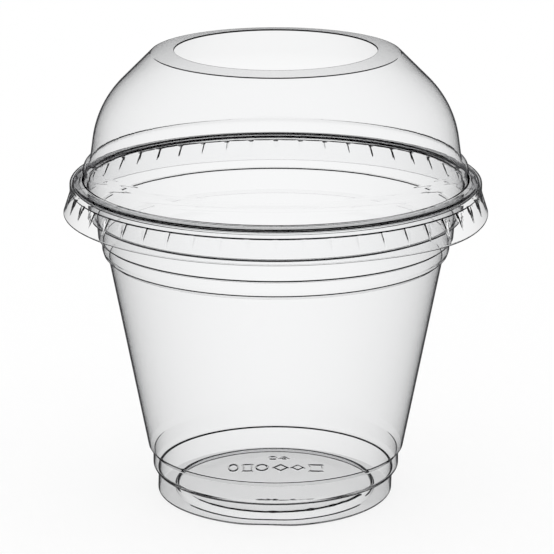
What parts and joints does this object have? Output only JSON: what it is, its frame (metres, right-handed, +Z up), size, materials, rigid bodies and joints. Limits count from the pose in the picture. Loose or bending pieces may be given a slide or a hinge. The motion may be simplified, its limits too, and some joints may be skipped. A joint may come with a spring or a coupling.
{
  "type": "clear plastic cup with dome lid",
  "caption": "Clear tapered plastic cup with a rolled rim and a press-on dome lid that has a wide round opening and a fluted skirt.",
  "frame": {"origin": "centre of the foot ring's resting plane", "axes": "+Z up along the cup's axis; the object is round, and one flute of the lid's skirt lies on each of +X and +Y"},
  "size_m": [0.103, 0.103, 0.1109],
  "materials": {
    "cup_sheet": "clear glossy thermoformed sheet",
    "lid_sheet": "clear glossy thermoformed sheet"
  },
  "bodies": {
    "cup": {"cup": "cup_sheet"},
    "lid": {"lid": "lid_sheet"}
  },
  "joints": [
    {"name": "lid_lift", "type": "slide", "parent": "cup", "child": "lid", "axis": [0, 0, 1], "range_m": [0, 0.04]}
  ]
}
